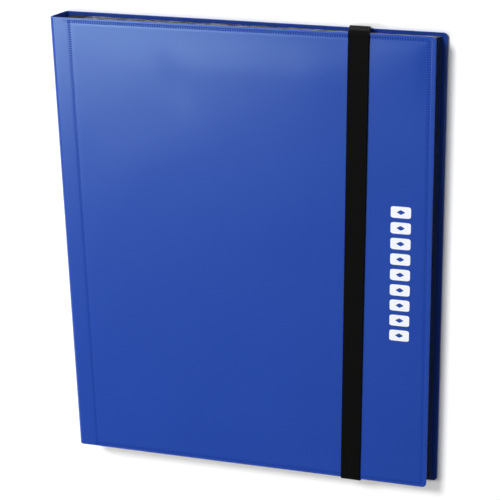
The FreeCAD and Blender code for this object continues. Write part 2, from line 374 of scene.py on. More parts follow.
# %% [markdown]
# ## The covers' plastic
# The skins are blue polypropylene sheet with a fine grain rolled into it. Up close the grain breaks
# up the shine; from afar it reads as a soft sheen. The colour drifts a little in soft clouds. The
# lining is the same sheet, a little duller, and its darker blue is painted shade: the shade it lies
# in inside the closed binder. The grain is read from two coordinates of space turned halfway between
# a cover and the spine, so it doesn't change along the height contours of a dented cover, as grain
# read in three would.

# %% Blue plastic
SKIN_BLUE = (0.0125, 0.048, 0.305)
SKIN_BLUE_WORN = (0.0150, 0.053, 0.32)
# The lining's blues are darker than the skin's: painted shade, for the shade the lining lies in
# inside the closed binder.
SHADED_LINING_BLUE = (0.008, 0.035, 0.24)
SHADED_LINING_DRIFT = (0.010, 0.040, 0.26)
# The weld's blue is a little darker than the skin's: painted shade of the pressed weld impressions.
SHADED_WELD_BLUE = (0.0095, 0.037, 0.25)
GRAIN_SIZE = 0.5 * MM
GRAIN_DEPTH = 0.02 * MM
CLOUD_SIZE = 60 * MM
COOL_SHINE = (0.62, 0.88, 0.95, 1)


def blue_plastic(name, colour, drift_colour, roughness):
    """Grained sheet: cloudy colour drift, a coarse and a fine grain."""
    finish = Finish(name, colour, roughness, Specular_Tint=COOL_SHINE)
    clouds = finish.noise(CLOUD_SIZE, detail=3)
    finish.colour(finish.mix(finish.between(clouds, 0.2, 0.8), colour, drift_colour))
    sheet = finish.stretched((1, 1, 1), turn=(0, math.radians(45), 0))
    coarse = finish.noise(GRAIN_SIZE * 3, detail=2, vector=sheet, dimensions="2D")
    fine = finish.noise(GRAIN_SIZE, detail=3, rough=0.6, vector=sheet, dimensions="2D")
    finish.bump(coarse, GRAIN_DEPTH, 0.5)
    finish.bump(fine, GRAIN_DEPTH, 0.6)
    return finish.material


skin_plastic = blue_plastic("skin_plastic", SKIN_BLUE, SKIN_BLUE_WORN, 0.285)
weld_plastic = Finish("weld_plastic", SHADED_WELD_BLUE, 0.6, Specular_IOR_Level=0.04).material
lining_plastic = blue_plastic("lining_plastic", SHADED_LINING_BLUE, SHADED_LINING_DRIFT, 0.34)
print("blue plastics: skin, lining and weld")

# %% [markdown]
# ## The covers
# Each cover is two plies welded together round a board. The outer ply rises a little over the board,
# and it isn't quite flat: a soft dent near the head and a few slight rises bend the reflections.
# The weld runs as a rectangle just inside the edges, and further in beside the spine.
# The face is the bent line lifted by the ply, plus the fullness, less the weld's groove, less the
# rounding of the rim. The rounded corners come from pulling the last grid lines inwards. The dent
# and the rises are the front cover's own, so the back cover stays flat.

# %% The shape of a cover's face
CORNER_RADIUS = 3 * MM
RIM_ROUND = 0.3 * MM
WELD_FOLD = 14.2 * MM
WELD_FORE = 3.7 * MM
WELD_END = 2.4 * MM
WELD_HALF = 0.9 * MM
WELD_SLOPE = 0.35 * MM
WELD_DEPTH = 0.04 * MM
WELD_RUN_OUT = 12.2 * MM
CROWN = 0.25 * MM
CROWN_FADE = 30 * MM
SWELLING_FADE = 8 * MM
weld_from, weld_to, weld_level = WELD_FOLD, cover_reach - WELD_FORE, half_height - WELD_END


def off_weld(distance, level):
    """Distance to the weld's rectangle, negative inside it."""
    middle, half = (weld_from + weld_to) / 2, (weld_to - weld_from) / 2
    return np.maximum(np.abs(distance - middle) - half, np.abs(level) - weld_level)


def groove(distance, level):
    """Depth of the weld's groove: full within half a weld's width of its line, none past its slope.

    The line beside the fold runs on to both ends of the cover, and the two end lines run on past it,
    so they cross; the distance is to the nearest of the four lines.
    """
    beside_fold = np.abs(distance - weld_from)
    beside_fore = np.maximum(np.abs(distance - weld_to), np.abs(level) - weld_level)
    past = np.maximum(WELD_RUN_OUT - distance, distance - weld_to)
    beside_end = np.maximum(np.abs(np.abs(level) - weld_level), past)
    nearest = np.minimum(np.minimum(beside_fold, beside_fore), beside_end)
    return WELD_DEPTH * smoothstep(WELD_HALF + WELD_SLOPE, WELD_HALF, nearest)


# Each soft oval: its middle (distance, level), half widths, turn in radians, and depth, where a
# negative depth stands out. The lengths are in millimetres.
OVALS = [((84, 118), (20, 7), -1.15, 0.3), ((60, 60), (60, 22), 0.5, -0.2),
         ((176, 136), (17, 26), 0.0, -0.25)]
STRAP_SWELLING = ((232, 140), (26, 22), 0.0, -0.5)


def dent(distance, level, centre, size, turn, depth):
    """A soft oval hollow: depth * exp(-r^2), with r measured in the turned oval's half widths."""
    x, y = distance - centre[0] * MM, level - centre[1] * MM
    along = (x * math.cos(turn) + y * math.sin(turn)) / (size[0] * MM)
    across = (y * math.cos(turn) - x * math.sin(turn)) / (size[1] * MM)
    return -depth * MM * np.exp(-along ** 2 - across ** 2)


def fullness(distance, level):
    """How far the front cover's face stands off flat.

    A low crown, a dent, two soft rises and a swelling beside the strap, each fading out towards the
    weld: amount * smoothstep(distance inside the weld).
    """
    inside = -off_weld(distance, level)
    shape = CROWN * (1 + np.cos(2 * math.pi * (distance / cover_reach - 0.5)))
    for oval in OVALS:
        shape = shape + dent(distance, level, *oval)
    return (smoothstep(0, CROWN_FADE, inside) * shape
            + smoothstep(0, SWELLING_FADE, inside) * dent(distance, level, *STRAP_SWELLING))


def rim_drop(distance, level, reach):
    """How far the rounded rim falls below the face, from the nearest edge's distance."""
    edge = np.minimum(reach - distance, half_height - np.abs(level))
    return RIM_ROUND - np.sqrt(RIM_ROUND ** 2 - (RIM_ROUND - np.clip(edge, 0, RIM_ROUND)) ** 2)


def pull_corners(distance, level, reach):
    """Move the last grid lines inwards so that the outline follows the corner's arc."""
    into = np.clip(np.abs(level) - (half_height - CORNER_RADIUS), 0, CORNER_RADIUS)
    edge = reach - CORNER_RADIUS + np.sqrt(CORNER_RADIUS ** 2 - into ** 2)
    start = reach - 3 * CORNER_RADIUS
    share = np.clip((distance - start) / (reach - start), 0, None)
    return np.where(distance > start, start + share * (edge - start), distance)


print(f"weld rectangle {(weld_to - weld_from) / MM:.1f} x {2 * weld_level / MM:.1f} mm")

# %% [markdown]
# The grid has few lines where the sheet is plain and many where it bends: round the fold, across the
# weld, at the rim and at the edges of the board's recess. That keeps a large smooth cover light.

# %% Grid lines
def around(line, *offsets):
    """Grid lines on both sides of a line."""
    steps = np.array(offsets) * MM
    return np.concatenate([line - steps, line + steps])


RIM_STEPS = np.array([0, 0.03, 0.09, 0.18, 0.3, 0.6]) * MM
WELD_STEPS = (0, 0.6, 0.9, 1.07, 1.25)
RECESS_STEP = 0.05
FOLD_LINES = 15
PLAIN_STEP = 4 * MM


def board_lines(node, axis):
    """The edges of a board from its box, counted from the fold along X, or as Y."""
    low, high = (corner[axis] for corner in span(node))
    return np.array([low, high]) - (back_axis[0] if axis == 0 else 0)


board_distance, board_level = board_lines("back_board", 0), board_lines("back_board", 1)
low, high = span("spine_board")
spine_board_width = ((high - low)[2] - board_ply * abs(spine_in[1])) / spine_up[1]
spine_board_start = (spine_width - spine_board_width) / 2
spine_board_level = around(high[1], RECESS_STEP)
SEAM = 5.6 * MM


def cover_distances(line):
    """Grid lines from the seam on the spine, round the fold, to the fore-edge."""
    fold = np.linspace(-line.tangent, line.tangent, FOLD_LINES)
    plain = np.arange(weld_from + 4 * MM, weld_to - 3 * MM, PLAIN_STEP)
    corner = cover_reach - CORNER_RADIUS * np.linspace(0.2, 1.6, 6)
    run_out = WELD_RUN_OUT - np.array([WELD_HALF, WELD_HALF + WELD_SLOPE])
    return stations([-SEAM], -around(spine_board_start, RECESS_STEP / 2), fold, [7.5 * MM, 9.5 * MM],
                    run_out, around(weld_from, *WELD_STEPS), plain, corner,
                    around(weld_to, *WELD_STEPS), cover_reach - RIM_STEPS,
                    around(board_distance[0], RECESS_STEP), around(board_distance[1], RECESS_STEP))


def cover_levels():
    """Grid lines from tail to head."""
    corner = half_height - CORNER_RADIUS * np.linspace(0.1, 1.1, 7)
    one_side = stations(np.arange(0, weld_level - 3 * MM, PLAIN_STEP), corner,
                        around(weld_level, *WELD_STEPS), half_height - RIM_STEPS,
                        around(board_level[1], RECESS_STEP), spine_board_level)
    return stations(-one_side, one_side)


print("grid lines from tail to head:", len(cover_levels()))

# %% [markdown]
# Skin and lining share those lines. Between them lies the board: there the skin's lower face steps
# up by the board's thickness. On the back cover the step also makes the two slots that the strap
# comes out of.

# %% Build the covers
PLY_AIR = 0.006 * MM
SLOT_AIR = 0.2 * MM
SLOT_STEP = 0.02
lining_top = -half_ply + lining_ply
strap_low, strap_high = span("strap_end_head")
slot_distance = np.array([strap_low[0] - SLOT_AIR, strap_high[0] + SLOT_AIR]) - back_axis[0]
slot_level = strap_low[1] - SLOT_AIR


def recess(distance, level, with_slots):
    """1 over the board, and in the strap's slots, and 0 elsewhere."""
    board = ((distance > board_distance[0] - RECESS_STEP * MM / 2)
             & (distance < board_distance[1] + RECESS_STEP * MM / 2)
             & (np.abs(level) < board_level[1] + RECESS_STEP * MM / 2))
    board |= (distance < -spine_board_start) & (np.abs(level) < spine_board_level.mean())
    if with_slots:
        board |= ((distance > slot_distance[0]) & (distance < slot_distance[1])
                  & (np.abs(level) > slot_level))
    return board.astype(float)


def cover_plies(side, line, with_slots=False):
    """Skin and lining of one cover, from the seam on the spine to the fore-edge."""
    lines, levels = cover_distances(line), cover_levels()
    if with_slots:
        slot_lines = [around(edge, SLOT_STEP) for edge in slot_distance]
        slot_levels = around(slot_level, SLOT_STEP)
        lines, levels = stations(lines, *slot_lines), stations(levels, slot_levels, -slot_levels)
    distance, level = np.meshgrid(lines, levels, indexing="ij")
    pulled = pull_corners(distance, level, cover_reach)
    drop, cut = rim_drop(distance, level, cover_reach), groove(distance, level)
    crown = fullness(distance, level) if side == "front" else 0.0 * distance
    top = line.place(pulled, level, half_ply - drop - cut + crown)
    under = lining_top + PLY_AIR + (board_ply + PLY_AIR) * recess(distance, level, with_slots)
    skin = slab(side + "_cover_skin", top, line.place(pulled, level, under), skin_plastic)
    inner = line.place(pulled, level, -half_ply + 0.4 * drop + 0.5 * cut)
    outer = line.place(pulled, level, np.full_like(distance, lining_top))
    lining = slab(side + "_cover_lining", outer, inner, lining_plastic)
    for ply, suffix in ((skin, "skin"), (lining, "lining")):
        line.middle(-line.tangent)
        line.middle(line.tangent)
        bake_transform(ply)
        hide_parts(f"{side}_{suffix}")
    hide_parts(side + "_fold")
    print(side, "cover grid:", len(lines), "x", len(levels))


cover_plies("front", front_line)
cover_plies("back", back_line, with_slots=True)

# %% [markdown]
# ## The spine
# Between the two seams the spine is a plain strip of the same two plies, with its own board inside.
# It stays flat, so it rides on the spine's body, and the covers' folds meet it edge to edge.

# %% Build the spine
def spine_plies():
    """Skin and lining of the strip between the two covers' seams."""
    reach = np.linspace(SEAM, spine_width - SEAM, 9)
    distance, level = np.meshgrid(reach, cover_levels(), indexing="ij")
    drop = rim_drop(np.zeros_like(distance), level, cover_reach)

    def face(lift):
        point = back_axis + distance[..., None] * spine_up - lift[..., None] * spine_in
        return np.stack([point[..., 0], level, point[..., 1]], -1)

    over_board = np.abs(level) < spine_board_level.mean()
    under = lining_top + PLY_AIR + (board_ply + PLY_AIR) * over_board
    skin = slab("spine_strip_skin", face(half_ply - drop), face(under), skin_plastic)
    lining = slab("spine_strip_lining", face(np.full_like(distance, lining_top)),
                  face(-half_ply + 0.4 * drop), lining_plastic)
    for ply, suffix in ((skin, "skin"), (lining, "lining")):
        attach(ply, "spine")
        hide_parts("spine_" + suffix)
    print("spine grid:", *distance.shape)


spine_plies()

# %% [markdown]
# ## The weld's teeth
# A heated tool with fine teeth pressed the plies together, and left a ladder of short bars across
# the weld's line. A row of real bars catches the light where a painted line would look flat. Each bar
# is a small hipped block of six faces, and one array holds them all.

# %% Build the teeth
TOOTH_PITCH = 1.55 * MM
TOOTH_WIDTH = 0.85 * MM
TOOTH_HEIGHT = 0.07 * MM
TOOTH_HIP = 0.1 * MM
TOOTH_SINK = 0.02 * MM
ROW_SPARE = 0.3 * MM
TOOTH_FACES = np.array([[0, 1, 2, 3], [4, 7, 6, 5], [0, 4, 5, 1], [1, 5, 6, 2],
                        [2, 6, 7, 3], [3, 7, 4, 0]])


def tooth_row(start, end, spare=0.0):
    """Middles and directions of teeth spaced evenly from start to end, both (distance, level)."""
    start, end = np.array(start), np.array(end)
    length = np.linalg.norm(end - start) - 2 * spare
    count = int(length / TOOTH_PITCH)
    way = (end - start) / np.linalg.norm(end - start)
    steps = spare + (np.arange(count) + 0.5) * length / count
    return start + steps[:, None] * way, np.tile(way, (count, 1))


def teeth(name, middles, ways, reach, place, material):
    """Small hipped blocks: a base rectangle and a smaller top one, laid out round each middle.

    reach is half a tooth's length across its row. place turns (distance, level, height) into points.
    """
    corner = np.array([[-1, -1], [1, -1], [1, 1], [-1, 1]])
    base = corner * [TOOTH_WIDTH / 2, reach]
    top = corner * [TOOTH_WIDTH / 2 - TOOTH_HIP, reach - TOOTH_HIP]
    local = np.concatenate([base, top])
    height = np.repeat([0.0, 1.0], 4) * TOOTH_HEIGHT
    across = np.stack([-ways[:, 1], ways[:, 0]], -1)
    flat = (middles[:, None] + local[None, :, :1] * ways[:, None]
            + local[None, :, 1:] * across[:, None])
    points = place(flat[..., 0], flat[..., 1], np.tile(height, (len(middles), 1)))
    edges = points[:, [1, 3, 4]] - points[:, :1]
    mirrored = np.linalg.det(edges) > 0
    faces = np.where(mirrored[:, None, None], TOOTH_FACES, TOOTH_FACES[:, ::-1])
    faces = faces + 8 * np.arange(len(middles))[:, None, None]
    return make_piece(name, points.reshape(-1, 3), faces.reshape(-1, 4), material)


def weld_rows():
    """The teeth of the four lines, row after row; the lines beside the fold and at the ends cross."""
    far_end = half_height - 0.5 * MM
    ends = [((weld_from, -far_end), (weld_from, far_end)),
            ((weld_to, -weld_level), (weld_to, weld_level)),
            ((WELD_RUN_OUT, weld_level), (weld_to, weld_level)),
            ((WELD_RUN_OUT, -weld_level), (weld_to, -weld_level))]
    rows = [tooth_row(start, end, ROW_SPARE) for start, end in ends]
    return (np.concatenate([row[part] for row in rows]) for part in (0, 1))


def cover_weld(side, line):
    """Teeth on the outside of a cover, standing on the groove's floor, and on its lining."""
    middles, ways = weld_rows()
    floor = half_ply - WELD_DEPTH - TOOTH_SINK
    ceiling = -half_ply + 0.5 * WELD_DEPTH + TOOTH_SINK

    def outside(distance, level, height):
        crown = fullness(distance, level) if side == "front" else 0.0
        return line.place(distance, level, floor + height + crown)

    def inside(distance, level, height):
        return line.place(distance, level, ceiling - 0.6 * height)

    for face, place in (("outer", outside), ("inner", inside)):
        piece = teeth(f"{side}_cover_{face}_weld", middles, ways, WELD_HALF, place, weld_plastic)
        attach(piece, side + "_cover")
    print(side, "cover weld:", len(middles), "teeth on each face")


cover_weld("front", front_line)
cover_weld("back", back_line)

# %% [markdown]
# ## Black sheet and clear film
# A page is a black sheet with clear film welded to both faces. The sheet is matt, with a fine
# diagonal hatch pressed into the margin by the spine. The film is glossy and never quite flat, so a
# slow bump lets its reflections wander. Where film and sheet are fused, the plastic turns whitish.
# The pages' cut fore-edges get a dark blue that paints the reflection of the blue lining they face in
# the closed binder. The cut head and tail edges get painted glints, whitish in patches.

# %% Page materials
MARGIN_END = 15 * MM
MARGIN_FADE = 1 * MM
HATCH_PITCH = 1.3 * MM
HATCH_DEPTH = 0.12 * MM
ROWS = 3
FILM_EDGE = 0.8 * MM
FUSED_HALF = 0.2 * MM
FUSED_FADE = 0.35 * MM
FUSED_CLEARNESS = 0.4
page_half = span("leaf_01_sheet")[1][1]
film_half = page_half - FILM_EDGE
pocket_height = 2 * film_half / ROWS


def black_sheet():
    """Matt black sheet with a diagonal hatch in the margin.

    The UV's first number is the distance from the root in metres, and its second is the height.
    """
    finish = Finish("black_sheet", (0.011, 0.011, 0.012), 0.48)
    finish.bump(finish.noise(0.6 * MM, detail=2), 0.01 * MM, 0.5)
    uv = finish.place("UV")
    from_root = finish.node("ShaderNodeSeparateXYZ", {"Vector": uv}).outputs["X"]
    in_margin = finish.between(from_root, MARGIN_END + MARGIN_FADE, MARGIN_END)
    turned = finish.stretched((1, 1, 1), "UV", (0, 0, math.radians(50)))
    hatch = finish.maths("MULTIPLY", finish.stripes(HATCH_PITCH, turned), in_margin)
    finish.bump(hatch, HATCH_DEPTH, 0.8)
    return finish.material


def clear_film():
    """Clear, glossy, slightly hazy film over the sheet, whitish along the welds between the pockets.

    No joint moves a page along Y, so Y tells how far a point is from the nearest weld.
    """
    finish = Finish("clear_film", (0.93, 0.95, 0.97), 0.12, Transmission_Weight=1.0, IOR=1.45)
    haze = finish.noise(25 * MM, detail=3)
    finish.roughness(finish.between(haze, 0.35, 0.7, 0.08, 0.22))
    finish.bump(finish.noise(28 * MM, detail=1.5), 0.8 * MM, 0.5)
    level = finish.node("ShaderNodeSeparateXYZ", {"Vector": finish.place()}).outputs["Y"]
    from_end = finish.maths("ADD", level, film_half)
    off_weld_line = finish.maths("PINGPONG", from_end, pocket_height / 2)
    clear = finish.between(off_weld_line, FUSED_HALF, FUSED_FADE, FUSED_CLEARNESS)
    finish.tree.links.new(clear, finish.shader.inputs["Transmission Weight"])
    return finish.material


sheet_black = black_sheet()
film_clear = clear_film()
weld_film = Finish("welded_film", (0.10, 0.105, 0.115), 0.3).material


CLEAR_OVER_BLACK = (0.02, 0.02, 0.022)
# Whitish of the painted glints on the films' cut edges.
GLINT_WHITE = (0.62, 0.61, 0.58)


def fused_film():
    """Cut edge of clear film fused to the sheet, with painted glints: whitish in patches, and dark
    where it's clear.
    """
    finish = Finish("fused_film", (0.3, 0.3, 0.3), 0.25)
    # Streaky patches where the painted glints fall.
    patches = finish.noise(14 * MM, detail=3, rough=0.7, vector=finish.stretched((1, 1, 25)))
    finish.colour(finish.mix(finish.between(patches, 0.48, 0.64), CLEAR_OVER_BLACK, GLINT_WHITE))
    return finish.material


glinting_edge_film = fused_film()
# Painted reflection: the black pages' fore-edge faces get the blue they reflect from the lining in
# the closed binder.
edge_navy = Finish("edge_navy", (0.06, 0.20, 0.85), 0.35).material
print(f"pockets {pocket_height / MM:.1f} mm high, {ROWS} in a column")

# %% [markdown]
# ## The pages
# Each page hinges on its own line beside the block of bound roots, and the line lies deeper in the
# middle of the stack, which lets an open half lie flat. A page leaves the block, bends at its line
# and runs straight to the fore-edge, and the film strips ride on the flat of the page.

# %% Page lines
leaf_names = sorted(name for name in frame["bodies"] if name.startswith("leaf_"))
block_low, block_high = span("binding_block")
sheet_ply = 0.15 * MM
BLOCK_DEPTH = 5.0 * MM
ROOT_BEND = 5 * MM
BEND_BEFORE = 0.9 * MM
BEND_AFTER = 4.0 * MM


def page_line(leaf):
    """The page's bent line, its depth from the spine's middle plane and its reach past the hinge."""
    hinge = hinge_xz(leaf + "_turn")
    along = heading(lean_of(leaf + "_sheet", sheet_ply))
    depth = (hinge - back_axis) @ spine_in
    corner = span(leaf + "_sheet")[1]
    reach = (corner[0] - hinge[0]) / along[0]
    return BentLine(hinge, -spine_in, along, ROOT_BEND), depth, reach


def page_grid(distances, levels):
    """Distance and level at every crossing of the grid lines."""
    return np.meshgrid(distances, levels, indexing="ij")


print("first page reaches", round(page_line(leaf_names[0])[2] / MM, 1), "mm past its hinge")

# %% [markdown]
# A face of film is three strips side by side, open towards the spine, and each strip is welded
# across at two heights, which makes three pockets of it. The strip's height is a pillow that falls
# to nothing at the welds: a product of two flattened arches, one along and one across.

# %% Film strips
PAGE_MARGIN = 17 * MM
STRIP_GAP = 1.0 * MM
COLUMNS = 3
FILM_PLY = 0.1 * MM
FILM_AIR = 0.006 * MM
THIN_FILM = 0.03 * MM
PILLOW = 0.05 * MM
WELD_LINE = 0.7 * MM


def arch(share):
    """1 across the middle of a span from 0 to 1, falling to 0 at both its ends."""
    return 1 - np.abs(2 * share - 1) ** 6


def strip_levels():
    """Grid lines up a strip, close together at the welds between pockets."""
    welds = -film_half + pocket_height * np.arange(ROWS + 1)
    plain = np.linspace(-film_half, film_half, 9 * ROWS + 1)
    beside = np.concatenate([around(weld, WELD_LINE / 2 / MM, WELD_LINE / MM) for weld in welds])
    return stations(plain, welds, beside[np.abs(beside) < film_half])


def strip_lift(distance, level, start, end):
    """Height of the film's upper face over the sheet: thin at the welds, a low pillow between."""
    across = np.clip((distance - start) / (end - start), 0, 1)
    up = ((level + film_half) / pocket_height) % 1.0
    near_weld = np.minimum(up, 1 - up) * pocket_height
    flat = smoothstep(WELD_LINE / 2, WELD_LINE, near_weld)
    return THIN_FILM + flat * (FILM_PLY - 0.04 * MM + PILLOW * arch(across) * arch(up))


def on_page(line, distance, level, face, low, high):
    """Upper and lower grid of a sheet lying on one face of a page, `low` to `high` off its middle."""
    near, far = (line.place(distance, level, face * (lift + 0 * distance)) for lift in (low, high))
    return (far, near) if face > 0 else (near, far)


def film_strips(leaf, line, depth, reach):
    """Six strips of film on one page, joined in one mesh."""
    start = PAGE_MARGIN - depth
    pitch = (reach - FILM_EDGE + STRIP_GAP - start) / COLUMNS
    base = sheet_ply / 2 + FILM_AIR
    pairs = []
    for column in range(COLUMNS):
        low = start + column * pitch
        high = low + pitch - STRIP_GAP
        lines = stations(np.linspace(low, high, 9), high - np.array([0.5, 1.2]) * MM)
        distance, level = page_grid(lines, strip_levels())
        top = base + strip_lift(distance, level, low, high)
        pairs += [on_page(line, distance, level, face, base, top) for face in (1, -1)]
    return slabs(leaf + "_film", pairs, film_clear)


def end_beads(leaf, line, depth, reach):
    """Where film and sheet are cut and fused together at head and tail: four thin beads on a page."""
    pairs = []
    for side in (1, -1):
        lines = np.linspace(PAGE_MARGIN - depth, reach - 0.3 * MM, 10)
        distance, level = page_grid(lines, side * (page_half - np.array([FILM_EDGE - 0.05 * MM, 0])))
        if side < 0:
            distance, level = distance[:, ::-1], level[:, ::-1]
        pairs += [on_page(line, distance, level, face, sheet_ply / 2, sheet_ply / 2 + FILM_PLY)
                  for face in (1, -1)]
    return slabs(leaf + "_end_beads", pairs, glinting_edge_film)


print("film strips:", 2 * COLUMNS * len(leaf_names))

# %% [markdown]
# The page's outer edge has the same ladder of teeth as the covers, pressed through film and sheet.
# A sheet is one mesh with two finishes: black, and on the narrow face at its fore-edge a dark blue
# that paints the reflection of the blue lining.

# %% Build the pages
EDGE_WELD_IN = 1.9 * MM
EDGE_WELD_HALF = 1.0 * MM
EDGE_SPARE = 1.5 * MM


def trim_far_edge(piece, grid, material):
    """Give the narrow face at the end of a slab's last row its own material.

    The slab's two broad faces come first, then the rim, which starts along the first column.
    """
    rows, columns = grid
    first = 2 * (rows - 1) * (columns - 1) + rows - 1
    indices = np.zeros(len(piece.data.polygons), dtype=np.int32)
    indices[first:first + columns - 1] = 1
    piece.data.materials.append(material)
    piece.data.polygons.foreach_set("material_index", indices)


def build_page(leaf):
    """Sheet with its bound root, film strips and edge weld of one page."""
    line, depth, reach = page_line(leaf)
    root = depth - BLOCK_DEPTH
    bend = np.linspace(-BEND_BEFORE, BEND_AFTER, 13)
    distances = stations([-root], bend[bend > -root + 0.1 * MM], np.linspace(BEND_AFTER, reach, 12))
    levels = np.linspace(-page_half, page_half, 21)
    distance, level = page_grid(distances, levels)
    uv = np.stack([distance + root, level], -1)
    lift = np.full_like(distance, sheet_ply / 2)
    page = slab(leaf + "_page", line.place(distance, level, lift), line.place(distance, level, -lift),
                sheet_black, uv)
    # The fore-edge face carries the painted reflection of the blue lining.
    trim_far_edge(page, distance.shape, edge_navy)
    line.middle(-BEND_BEFORE)
    line.middle(BEND_AFTER)
    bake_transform(page)
    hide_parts(leaf + "_sheet")
    film = film_strips(leaf, line, depth, reach)
    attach(film, leaf)
    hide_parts(leaf + "_pockets")
    beads = end_beads(leaf, line, depth, reach)
    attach(beads, leaf)
    edge = reach - EDGE_WELD_IN
    middles, ways = tooth_row((edge, -page_half), (edge, page_half), EDGE_SPARE)
    height = sheet_ply / 2 + FILM_PLY - 0.1 * MM

    def both(distance, level, up):
        half = distance.shape[0] // 2
        face = np.concatenate([np.ones(half), -np.ones(distance.shape[0] - half)])[:, None]
        return line.place(distance, level, face * (height + up))

    weld = teeth(leaf + "_edge_weld", np.tile(middles, (2, 1)), np.tile(ways, (2, 1)),
                 EDGE_WELD_HALF, both, weld_film)
    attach(weld, leaf)


for leaf in leaf_names:
    build_page(leaf)
print("pages built:", len(leaf_names))

# %% [markdown]
# ## The bound block
# At the spine the pages' margins are welded into one block. Its two long faces show the pressed
# edges of the sheets as fine ridges, so its section is the CAD node's outline with a ridge for each
# page, carried from tail to head.

# %% Build the block
BLOCK_BASE = 0.62 * MM
BLOCK_FOOT, BLOCK_HEAD = 0.1 * MM, 2.7 * MM
BLOCK_AIR = 0.02 * MM
RIDGE = 0.09 * MM


def block_section(count):
    """Inner and outer edge of the block's section, along the spine: arrays of (along, depth).

    The inner edge is ridged, depth = full depth - ridge * (1 + cos) / 2, with one ridge a page. The
    outer edge is the straight base, which keeps off the folds' arcs: base + R - sqrt(R^2 - into^2).
    """
    along = np.linspace(BLOCK_FOOT, spine_width - BLOCK_HEAD, count)
    turn = 2 * math.pi * len(leaf_names) * (along - along[0]) / np.ptp(along)
    depth = BLOCK_DEPTH - RIDGE * (1 + np.cos(turn)) / 2 - BLOCK_AIR
    into_back = np.clip(back_line.tangent - along, 0, None)
    into_front = np.clip(front_line.tangent - (spine_width - along), 0, None)
    into = np.maximum(into_back, into_front)
    base = BLOCK_BASE + FOLD_RADIUS - np.sqrt(FOLD_RADIUS ** 2 - into ** 2)
    return along, depth, base


def build_block():
    """The block between its two ends, as a slab with ridged upper face."""
    along, depth, base = block_section(len(leaf_names) * 8 + 1)
    levels = np.linspace(block_low[1], block_high[1], 9)

    def face(edge):
        point = back_axis + along[:, None] * spine_up + edge[:, None] * spine_in
        grid = np.empty((len(along), len(levels), 3))
        grid[..., 0], grid[..., 1], grid[..., 2] = point[:, :1], levels, point[:, 1:]
        return grid

    block = slab("binding_block_ridged", face(depth), face(base), block_black)
    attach(block, "spine")
    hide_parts("binding_block", "leaf_roots")
    print("block ridges:", len(leaf_names))


block_black = Finish("block_black", (0.012, 0.012, 0.013), 0.4).material
build_block()

# %% [markdown]
# ## The elastic strap
# A flat band of braided elastic comes out of the back cover's head edge, crosses the front cover
# and goes in again at the tail. Its path is a line up a flank, round a corner, along the cover and
# down. Its section is thin with rounded edges and fine ribs where the rubber threads run. So its
# surface is the path moved sideways by the section's height, with u across the band and v along it.

# %% Elastic
THREAD_PITCH = 0.42 * MM
THREAD_TURN = math.radians(78)


def black_elastic():
    """Braided band: its ribs are in the mesh, and a fine zigzag of threads follows the UV map."""
    finish = Finish("black_elastic", (0.0036, 0.0036, 0.0034), 0.6, Specular_IOR_Level=0.03)
    turned = [finish.stretched((1, 1, 1), "UV", (0, 0, way * THREAD_TURN)) for way in (1, -1)]
    weave = finish.maths("MAXIMUM", *(finish.stripes(THREAD_PITCH, vector, "Y") for vector in turned))
    finish.bump(weave, 0.08 * MM, 0.7)
    finish.bump(finish.noise(0.3 * MM, detail=2), 0.03 * MM, 0.5)
    return finish.material


elastic_black = black_elastic()
print(f"threads every {THREAD_PITCH / MM:.2f} mm")

# %% [markdown] The band lies flat on the cover, so its path takes the cover's own height where it
# crosses, and it runs a little askew, as elastic does when it is pulled over by hand.

# %% Build the strap
STRAP_PLY = 1.05 * MM
STRAP_RIBS = 15
STRAP_CORNER = 2.0 * MM
STRAP_STAND_OFF = 0.5 * MM
STRAP_TUCK = 0.8 * MM
STRAP_SKEW = 2.4 * MM
STRAP_AIR = 0.03 * MM
TUCK_RADIUS = 0.7 * MM
TUCK_PINCH = 0.42
RIB_DEPTH = 0.07 * MM
strap_box = span("strap")
strap_foot = np.array(joints["strap_release"]["pos_m"])
strap_width = strap_box[1][0] - strap_box[0][0]


def strap_path(steps):
    """Stations from the head's slot round to the tail's: (level, height share, normal) rows.

    Height share is 0 at the foot and 1 at the band's middle over the cover. A quarter circle joins
    each flank to the top; its normal turns from outwards to upwards.
    """
    flank = half_height + STRAP_STAND_OFF + STRAP_PLY / 2
    rise = span("strap")[1][2] - strap_foot[2] - STRAP_PLY / 2
    turn = np.linspace(0, math.pi / 2, steps)
    corner = np.stack([flank - STRAP_CORNER + STRAP_CORNER * np.cos(turn),
                       1 - (STRAP_CORNER / rise) * (1 - np.sin(turn)),
                       np.cos(turn), np.sin(turn)], -1)
    up = np.linspace(0.06, corner[0, 1], 9)[:-1]
    side = np.stack([np.full_like(up, flank), up, np.ones_like(up), 0 * up], -1)
    tuck = np.linspace(math.pi / 2, 0, 5)[:-1]
    inward = np.stack([flank - TUCK_RADIUS + TUCK_RADIUS * np.cos(tuck), 0.06 - 0.05 * np.sin(tuck),
                       np.cos(tuck), -np.sin(tuck)], -1)
    start = np.array([[half_height - STRAP_TUCK, 0.01, 0.0, -1.0]])
    over = np.linspace(flank - STRAP_CORNER, 0, 40)[1:]
    top = np.stack([over, np.ones_like(over), 0 * over, np.ones_like(over)], -1)
    half = np.concatenate([start, inward, side, corner, top])
    other = half[-2::-1] * [-1, 1, -1, 1]
    return np.concatenate([half, other])


